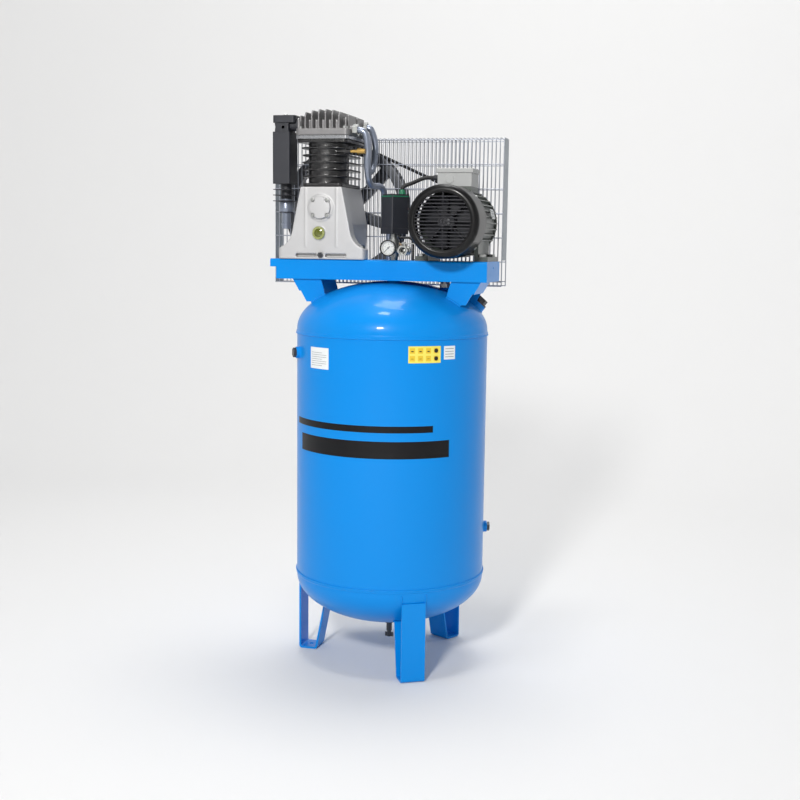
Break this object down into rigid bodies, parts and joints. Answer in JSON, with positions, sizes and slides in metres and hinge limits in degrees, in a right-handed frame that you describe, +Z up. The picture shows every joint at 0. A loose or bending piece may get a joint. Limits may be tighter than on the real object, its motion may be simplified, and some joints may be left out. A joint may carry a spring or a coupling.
{
  "type": "vertical tank compressor",
  "caption": "Upright air receiver on strip legs carrying a belt-driven two-stage piston pump, electric motor, mesh belt guard and pressure switch.",
  "frame": {"origin": "on the receiver axis at floor level, centre of the three foot anchor holes", "axes": "+Z up along the receiver, +X towards the motor, -Y towards the front with the sight glass and fan cowl, +Y towards the belt guard"},
  "size_m": [0.768, 0.6044, 1.7327],
  "materials": {
    "receiver_paint": "gloss",
    "cast_silver": "satin",
    "cast_black": "satin",
    "machined_steel": "satin",
    "aluminium_cast": "satin",
    "pipe_grey": "satin",
    "brass": "satin",
    "zinc_steel": "satin",
    "rubber": "matt",
    "gasket": "matt",
    "dark_plastic": "matt",
    "gloss_black": "gloss",
    "motor_paint": "satin",
    "grey_plastic": "satin",
    "wheel_paint": "satin",
    "guard_wire": "satin",
    "guard_paint": "satin",
    "red_plastic": "gloss",
    "gauge_black": "gloss",
    "clear": "polished",
    "oil_glass": "polished",
    "bezel": "satin",
    "filter_paper": "matt",
    "copper_winding": "varnished"
  },
  "bodies": {
    "compressor": {"tank_shell": "receiver_paint", "tank_top_head": "receiver_paint", "tank_bottom_head": "receiver_paint", "tank_legs": "receiver_paint", "threaded_plugs": "zinc_steel", "drain_valve_body": "brass", "platform_deck": "receiver_paint", "platform_brackets": "receiver_paint", "mounting_bolts": "zinc_steel", "crankcase": "cast_silver", "bearing_covers": "cast_silver", "main_bearings": "machined_steel", "cylinder_block": "cast_black", "pump_gaskets": "gasket", "valve_plate": "machined_steel", "cylinder_head": "cast_silver", "head_bolts": "zinc_steel", "sight_glass_bezel": "bezel", "sight_glass_lens": "oil_glass", "filter_housing": "dark_plastic", "filter_cap": "dark_plastic", "filter_element": "filter_paper", "intake_elbow": "dark_plastic", "intercooler_tube": "pipe_grey", "delivery_tube": "pipe_grey", "tube_nuts": "zinc_steel", "check_valve": "brass", "unloader_tube": "rubber", "motor_frame": "motor_paint", "motor_shields": "motor_paint", "motor_stator": "copper_winding", "motor_bearings": "machined_steel", "fan_cowl": "gloss_black", "terminal_box": "grey_plastic", "terminal_box_lid": "grey_plastic", "cable_glands": "dark_plastic", "motor_cable": "rubber", "v_belts": "rubber", "guard_mesh": "guard_wire", "guard_strips": "guard_paint", "manifold": "zinc_steel", "switch_base": "dark_plastic", "switch_cover": "dark_plastic", "gauge_case": "gauge_black", "gauge_glass": "clear", "safety_valves": "brass", "ball_valve_body": "zinc_steel"},
    "crank": {"crankshaft": "machined_steel", "flywheel": "wheel_paint"},
    "motor_shaft": {"motor_rotor": "machined_steel", "cooling_fan": "dark_plastic", "motor_pulley": "wheel_paint"},
    "low_piston": {"piston_low": "aluminium_cast"},
    "high_piston": {"piston_high": "aluminium_cast"},
    "low_rod": {"conn_rod_low": "aluminium_cast"},
    "high_rod": {"conn_rod_high": "aluminium_cast"},
    "drain_knob": {"drain_knob": "zinc_steel"},
    "switch_knob": {"switch_knob": "red_plastic"},
    "ball_lever": {"ball_valve_lever": "zinc_steel"},
    "needle": {"gauge_needle": "gauge_black"}
  },
  "joints": [
    {"name": "crank_spin", "type": "hinge", "parent": "compressor", "child": "crank", "pos_m": [-0.204, 0, 1.434], "axis": [0, 1, 0], "continuous": true, "deforming": ["conn_rod_low", "conn_rod_high"]},
    {"name": "motor_spin", "type": "hinge", "parent": "compressor", "child": "motor_shaft", "pos_m": [0.204, 0, 1.394], "axis": [0, 1, 0], "continuous": true},
    {"name": "low_piston_slide", "type": "slide", "parent": "compressor", "child": "low_piston", "axis": [0, 0, 1], "range_m": [-0.07, 0]},
    {"name": "high_piston_slide", "type": "slide", "parent": "compressor", "child": "high_piston", "axis": [0, 0, 1], "range_m": [0, 0.07]},
    {"name": "low_rod_swing", "type": "hinge", "parent": "low_piston", "child": "low_rod", "pos_m": [-0.204, -0.036, 1.609], "axis": [0, 1, 0], "range_deg": [-14.5, 14.5]},
    {"name": "high_rod_swing", "type": "hinge", "parent": "high_piston", "child": "high_rod", "pos_m": [-0.204, 0.056, 1.539], "axis": [0, 1, 0], "range_deg": [-14.5, 14.5]},
    {"name": "drain_knob_turn", "type": "hinge", "parent": "compressor", "child": "drain_knob", "pos_m": [0, 0, 0.06], "axis": [0, 0, 1], "range_deg": [0, 360]},
    {"name": "switch_knob_pull", "type": "slide", "parent": "compressor", "child": "switch_knob", "axis": [0.6428, 0.766, 0], "range_m": [0, 0.006]},
    {"name": "ball_lever_turn", "type": "hinge", "parent": "compressor", "child": "ball_lever", "pos_m": [0.057, -0.076, 1.307], "axis": [0, 0, -1], "range_deg": [0, 90]},
    {"name": "needle_turn", "type": "hinge", "parent": "compressor", "child": "needle", "pos_m": [0.012, -0.102, 1.314], "axis": [0, 1, 0], "range_deg": [0, 270]}
  ],
  "couplings": [
    {"joint": "motor_spin", "follows": "crank_spin", "ratio": 2.5625}
  ]
}
